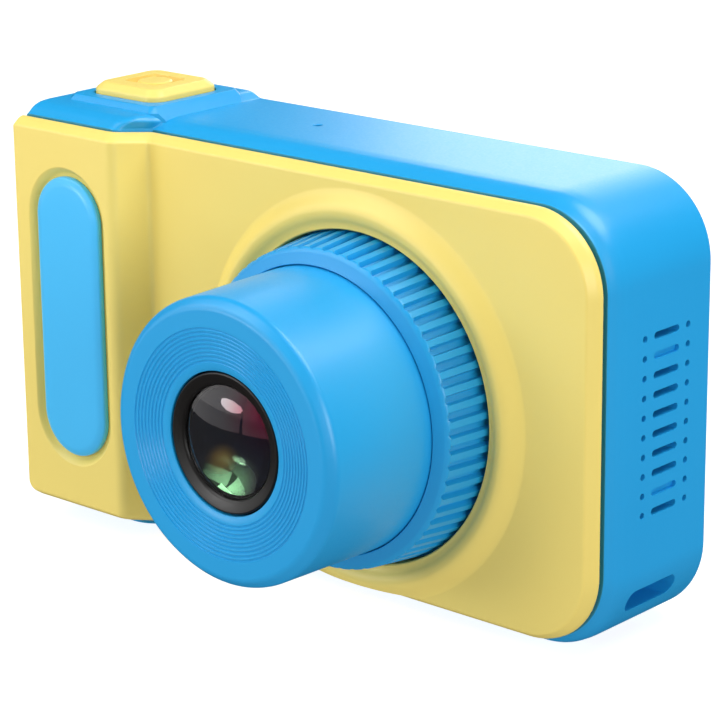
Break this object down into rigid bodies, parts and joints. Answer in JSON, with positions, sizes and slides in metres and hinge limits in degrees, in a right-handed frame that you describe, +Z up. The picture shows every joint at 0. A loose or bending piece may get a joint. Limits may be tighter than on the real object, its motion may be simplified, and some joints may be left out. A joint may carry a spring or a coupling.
{
  "type": "kids digital camera",
  "caption": "Children's compact digital camera with a two-colour casing, a stubby lens barrel with a ribbed ring, a square shutter button, a rear display and keys.",
  "frame": {"origin": "bottom centre of the whole camera, lens and keys included", "axes": "+X to the right seen from the lens side, along the long side; -Y the way the lens points; +Z up"},
  "size_m": [0.0826, 0.0428, 0.0526],
  "materials": {
    "yellow_plastic": "satin moulded plastic",
    "blue_plastic": "satin moulded plastic",
    "inlay_plastic": "smooth gloss",
    "black_plastic": "smooth gloss",
    "black_moulding": "fine matte",
    "coated_glass": "polished, with a violet coating",
    "filter_glass": "polished",
    "window_plastic": "polished",
    "display_glass": "polished",
    "circuit_board": "solder mask",
    "flex_film": "smooth film",
    "steel": "plated",
    "battery_foil": "satin foil",
    "red_wire": "smooth",
    "black_wire": "smooth",
    "soft_rubber": "fine matte"
  },
  "bodies": {
    "body": {"barrel_screw_1": "steel", "barrel_screw_2": "steel", "barrel_screw_3": "steel", "barrel_screw_4": "steel", "battery": "battery_foil", "battery_lead_black": "black_wire", "battery_lead_red": "red_wire", "card_slot": "steel", "casing_screw_1": "steel", "casing_screw_2": "steel", "casing_screw_3": "steel", "casing_screw_4": "steel", "confirm_switch": "steel", "display_flex": "flex_film", "display_panel": "display_glass", "display_window": "window_plastic", "front_cover": "yellow_plastic", "front_lens": "coated_glass", "grip_inlay": "inlay_plastic", "image_sensor": "display_glass", "inner_lens": "coated_glass", "ir_filter": "filter_glass", "lens_barrel": "blue_plastic", "lens_bezel": "black_plastic", "lens_cell": "black_moulding", "main_board": "circuit_board", "main_chip": "black_moulding", "menu_switch": "steel", "microphone": "steel", "nav_down_switch": "steel", "nav_left_switch": "steel", "nav_right_switch": "steel", "nav_up_switch": "steel", "power_switch": "steel", "rear_shell": "blue_plastic", "sensor_board": "circuit_board", "sensor_flex": "flex_film", "shutter_board": "circuit_board", "shutter_switch": "black_moulding", "speaker": "black_moulding", "speaker_lead_black": "black_wire", "speaker_lead_red": "red_wire", "usb_socket": "steel"},
    "shutter": {"shutter_button": "yellow_plastic"},
    "turning_ring": {"focus_ring": "blue_plastic"},
    "door": {"port_door": "soft_rubber"},
    "nav_up": {"nav_up_key": "yellow_plastic"},
    "nav_down": {"nav_down_key": "yellow_plastic"},
    "nav_left": {"nav_left_key": "yellow_plastic"},
    "nav_right": {"nav_right_key": "yellow_plastic"},
    "confirm": {"confirm_key": "yellow_plastic"},
    "power": {"power_key": "yellow_plastic"},
    "menu": {"menu_key": "yellow_plastic"}
  },
  "joints": [
    {"name": "shutter_press", "type": "slide", "parent": "body", "child": "shutter", "axis": [0, 0, -1], "range_m": [0, 0.0007], "stiffness_N_per_m": 400},
    {"name": "ring_turn", "type": "hinge", "parent": "body", "child": "turning_ring", "pos_m": [0.00906, 0.0006, 0.02405], "axis": [0, -1, 0], "continuous": true},
    {"name": "door_swing", "type": "hinge", "parent": "body", "child": "door", "pos_m": [-0.0413, 0.0121, 0.013], "axis": [0, -1, 0], "range_deg": [0, 100]},
    {"name": "nav_up_press", "type": "slide", "parent": "body", "child": "nav_up", "axis": [0, -1, 0], "range_m": [0, 0.0005], "stiffness_N_per_m": 400},
    {"name": "nav_down_press", "type": "slide", "parent": "body", "child": "nav_down", "axis": [0, -1, 0], "range_m": [0, 0.0005], "stiffness_N_per_m": 400},
    {"name": "nav_left_press", "type": "slide", "parent": "body", "child": "nav_left", "axis": [0, -1, 0], "range_m": [0, 0.0005], "stiffness_N_per_m": 400},
    {"name": "nav_right_press", "type": "slide", "parent": "body", "child": "nav_right", "axis": [0, -1, 0], "range_m": [0, 0.0005], "stiffness_N_per_m": 400},
    {"name": "confirm_press", "type": "slide", "parent": "body", "child": "confirm", "axis": [0, -1, 0], "range_m": [0, 0.0005], "stiffness_N_per_m": 400},
    {"name": "power_press", "type": "slide", "parent": "body", "child": "power", "axis": [0, -1, 0], "range_m": [0, 0.0005], "stiffness_N_per_m": 400},
    {"name": "menu_press", "type": "slide", "parent": "body", "child": "menu", "axis": [0, -1, 0], "range_m": [0, 0.0005], "stiffness_N_per_m": 400}
  ]
}
